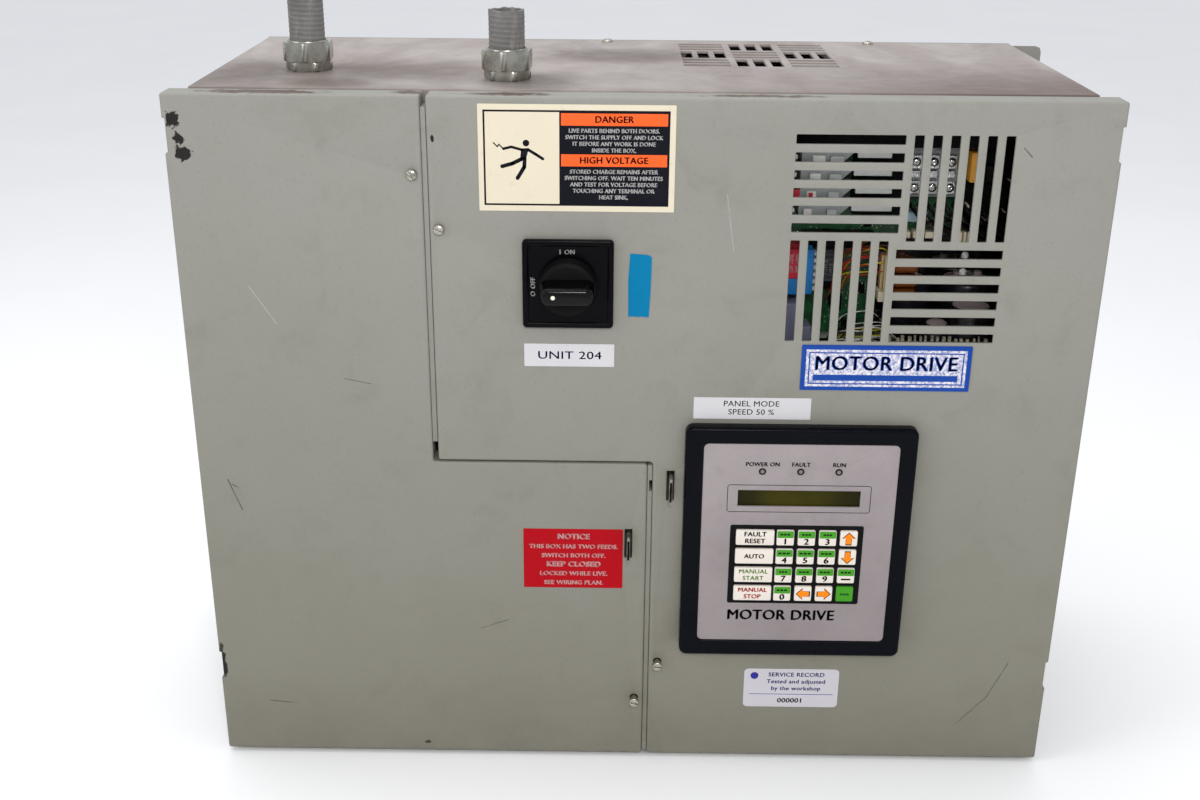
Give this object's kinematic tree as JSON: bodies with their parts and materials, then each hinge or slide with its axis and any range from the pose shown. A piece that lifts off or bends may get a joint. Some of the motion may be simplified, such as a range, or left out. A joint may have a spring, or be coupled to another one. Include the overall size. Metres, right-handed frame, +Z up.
{
  "type": "variable frequency drive",
  "caption": "Wall-mount drive cabinet with two interlocking L-shaped doors, a keypad display, a rotary disconnect handle, vent slots and roof conduit entries.",
  "frame": {"origin": "middle of the whole object's footprint, on the plane of the cabinet's underside", "axes": "+X right as seen from the front, +Y towards the wall, +Z up"},
  "size_m": [0.688, 0.307, 0.608],
  "materials": {
    "cabinet_paint": "satin",
    "door_paint": "fine orange-peel satin",
    "roof_paint": "dusty matte",
    "zinc": "zinc plated",
    "hinge_steel": "plated",
    "heat_sink_aluminium": "extruded",
    "conduit_jacket": "ribbed PVC",
    "black_plastic": "moulded",
    "switch_black": "semi-gloss moulded",
    "bezel_black": "semi-gloss moulded",
    "keypad_silver": "silver film",
    "circuit_board": "solder mask",
    "capacitor_sleeve": "shrink sleeve",
    "choke_iron": "varnished laminations",
    "grey_plastic": "moulded",
    "key_white": "printed membrane",
    "key_green": "printed membrane",
    "key_orange": "printed membrane"
  },
  "bodies": {
    "cabinet": {"back_panel": "cabinet_paint", "bottom_panel": "cabinet_paint", "top_panel": "roof_paint", "left_side_panel": "cabinet_paint", "right_side_panel": "cabinet_paint", "left_roof_screw": "zinc", "right_roof_screw": "zinc", "upper_mullion": "cabinet_paint", "lower_mullion": "cabinet_paint", "left_conduit_fitting": "zinc", "left_conduit": "conduit_jacket", "right_conduit_fitting": "zinc", "right_conduit": "conduit_jacket", "left_lower_hinge": "hinge_steel", "left_upper_hinge": "hinge_steel", "right_lower_hinge": "hinge_steel", "right_upper_hinge": "hinge_steel", "heat_sink": "heat_sink_aluminium", "power_module": "black_plastic", "capacitor_bank": "capacitor_sleeve", "dc_choke": "choke_iron", "control_board": "circuit_board", "relay_block": "grey_plastic", "terminal_block": "grey_plastic", "contactor": "grey_plastic", "disconnect_switch": "black_plastic", "fan_housing": "black_plastic"},
    "left_door": {"left_door": "door_paint"},
    "right_door": {"right_door": "door_paint", "switch_plate": "switch_black", "keypad_bezel": "bezel_black", "keypad_plate": "keypad_silver", "display_board": "circuit_board"},
    "switch_knob": {"switch_knob": "switch_black"},
    "switch_shaft": {"switch_shaft": "zinc"},
    "fan_rotor": {"fan_rotor": "black_plastic"},
    "left_door_upper_screw": {"left_door_upper_screw": "zinc"},
    "left_door_lower_screw": {"left_door_lower_screw": "zinc"},
    "right_door_upper_screw": {"right_door_upper_screw": "zinc"},
    "right_door_lower_screw": {"right_door_lower_screw": "zinc"},
    "key_1_1": {"key_1_1": "key_white"},
    "key_1_2": {"key_1_2": "key_green"},
    "key_1_3": {"key_1_3": "key_green"},
    "key_1_4": {"key_1_4": "key_green"},
    "key_1_5": {"key_1_5": "key_orange"},
    "key_2_1": {"key_2_1": "key_white"},
    "key_2_2": {"key_2_2": "key_green"},
    "key_2_3": {"key_2_3": "key_green"},
    "key_2_4": {"key_2_4": "key_green"},
    "key_2_5": {"key_2_5": "key_orange"},
    "key_3_1": {"key_3_1": "key_white"},
    "key_3_2": {"key_3_2": "key_green"},
    "key_3_3": {"key_3_3": "key_green"},
    "key_3_4": {"key_3_4": "key_green"},
    "key_3_5": {"key_3_5": "key_green"},
    "key_4_1": {"key_4_1": "key_white"},
    "key_4_2": {"key_4_2": "key_green"},
    "key_4_3": {"key_4_3": "key_orange"},
    "key_4_4": {"key_4_4": "key_orange"},
    "key_4_5": {"key_4_5": "key_green"}
  },
  "joints": [
    {"name": "left_door_hinge", "type": "hinge", "parent": "cabinet", "child": "left_door", "pos_m": [-0.3225, -0.0915, 0.295], "axis": [0, 0, -1], "range_deg": [0, 120]},
    {"name": "right_door_hinge", "type": "hinge", "parent": "cabinet", "child": "right_door", "pos_m": [0.3225, -0.0915, 0.295], "axis": [0, 0, 1], "range_deg": [0, 120]},
    {"name": "switch_turn", "type": "hinge", "parent": "right_door", "child": "switch_knob", "pos_m": [-0.051, -0.1185, 0.405], "axis": [0, 1, 0], "range_deg": [0, 90]},
    {"name": "shaft_turn", "type": "hinge", "parent": "cabinet", "child": "switch_shaft", "pos_m": [-0.051, -0.1185, 0.405], "axis": [0, 1, 0], "range_deg": [0, 90]},
    {"name": "fan_spin", "type": "hinge", "parent": "cabinet", "child": "fan_rotor", "pos_m": [0.093, 0.074, 0.52], "axis": [0, 0, 1], "continuous": true},
    {"name": "left_door_upper_screw_travel", "type": "slide", "parent": "left_door", "child": "left_door_upper_screw", "axis": [0, -1, 0], "range_m": [0, 0.006]},
    {"name": "left_door_lower_screw_travel", "type": "slide", "parent": "left_door", "child": "left_door_lower_screw", "axis": [0, 1, 0], "range_m": [0, 0.006]},
    {"name": "right_door_upper_screw_travel", "type": "slide", "parent": "right_door", "child": "right_door_upper_screw", "axis": [0, -1, 0], "range_m": [0, 0.006]},
    {"name": "right_door_lower_screw_travel", "type": "slide", "parent": "right_door", "child": "right_door_lower_screw", "axis": [0, 1, 0], "range_m": [0, 0.006]},
    {"name": "key_1_1_press", "type": "slide", "parent": "right_door", "child": "key_1_1", "axis": [0, 1, 0], "range_m": [0, 0.0005], "stiffness_N_per_m": 300},
    {"name": "key_1_2_press", "type": "slide", "parent": "right_door", "child": "key_1_2", "axis": [0, 1, 0], "range_m": [0, 0.0005], "stiffness_N_per_m": 300},
    {"name": "key_1_3_press", "type": "slide", "parent": "right_door", "child": "key_1_3", "axis": [0, 1, 0], "range_m": [0, 0.0005], "stiffness_N_per_m": 300},
    {"name": "key_1_4_press", "type": "slide", "parent": "right_door", "child": "key_1_4", "axis": [0, 1, 0], "range_m": [0, 0.0005], "stiffness_N_per_m": 300},
    {"name": "key_1_5_press", "type": "slide", "parent": "right_door", "child": "key_1_5", "axis": [0, 1, 0], "range_m": [0, 0.0005], "stiffness_N_per_m": 300},
    {"name": "key_2_1_press", "type": "slide", "parent": "right_door", "child": "key_2_1", "axis": [0, 1, 0], "range_m": [0, 0.0005], "stiffness_N_per_m": 300},
    {"name": "key_2_2_press", "type": "slide", "parent": "right_door", "child": "key_2_2", "axis": [0, 1, 0], "range_m": [0, 0.0005], "stiffness_N_per_m": 300},
    {"name": "key_2_3_press", "type": "slide", "parent": "right_door", "child": "key_2_3", "axis": [0, 1, 0], "range_m": [0, 0.0005], "stiffness_N_per_m": 300},
    {"name": "key_2_4_press", "type": "slide", "parent": "right_door", "child": "key_2_4", "axis": [0, 1, 0], "range_m": [0, 0.0005], "stiffness_N_per_m": 300},
    {"name": "key_2_5_press", "type": "slide", "parent": "right_door", "child": "key_2_5", "axis": [0, 1, 0], "range_m": [0, 0.0005], "stiffness_N_per_m": 300},
    {"name": "key_3_1_press", "type": "slide", "parent": "right_door", "child": "key_3_1", "axis": [0, 1, 0], "range_m": [0, 0.0005], "stiffness_N_per_m": 300},
    {"name": "key_3_2_press", "type": "slide", "parent": "right_door", "child": "key_3_2", "axis": [0, 1, 0], "range_m": [0, 0.0005], "stiffness_N_per_m": 300},
    {"name": "key_3_3_press", "type": "slide", "parent": "right_door", "child": "key_3_3", "axis": [0, 1, 0], "range_m": [0, 0.0005], "stiffness_N_per_m": 300},
    {"name": "key_3_4_press", "type": "slide", "parent": "right_door", "child": "key_3_4", "axis": [0, 1, 0], "range_m": [0, 0.0005], "stiffness_N_per_m": 300},
    {"name": "key_3_5_press", "type": "slide", "parent": "right_door", "child": "key_3_5", "axis": [0, 1, 0], "range_m": [0, 0.0005], "stiffness_N_per_m": 300},
    {"name": "key_4_1_press", "type": "slide", "parent": "right_door", "child": "key_4_1", "axis": [0, 1, 0], "range_m": [0, 0.0005], "stiffness_N_per_m": 300},
    {"name": "key_4_2_press", "type": "slide", "parent": "right_door", "child": "key_4_2", "axis": [0, 1, 0], "range_m": [0, 0.0005], "stiffness_N_per_m": 300},
    {"name": "key_4_3_press", "type": "slide", "parent": "right_door", "child": "key_4_3", "axis": [0, 1, 0], "range_m": [0, 0.0005], "stiffness_N_per_m": 300},
    {"name": "key_4_4_press", "type": "slide", "parent": "right_door", "child": "key_4_4", "axis": [0, 1, 0], "range_m": [0, 0.0005], "stiffness_N_per_m": 300},
    {"name": "key_4_5_press", "type": "slide", "parent": "right_door", "child": "key_4_5", "axis": [0, 1, 0], "range_m": [0, 0.0005], "stiffness_N_per_m": 300}
  ],
  "couplings": [
    {"joint": "shaft_turn", "follows": "switch_turn", "ratio": 1}
  ]
}
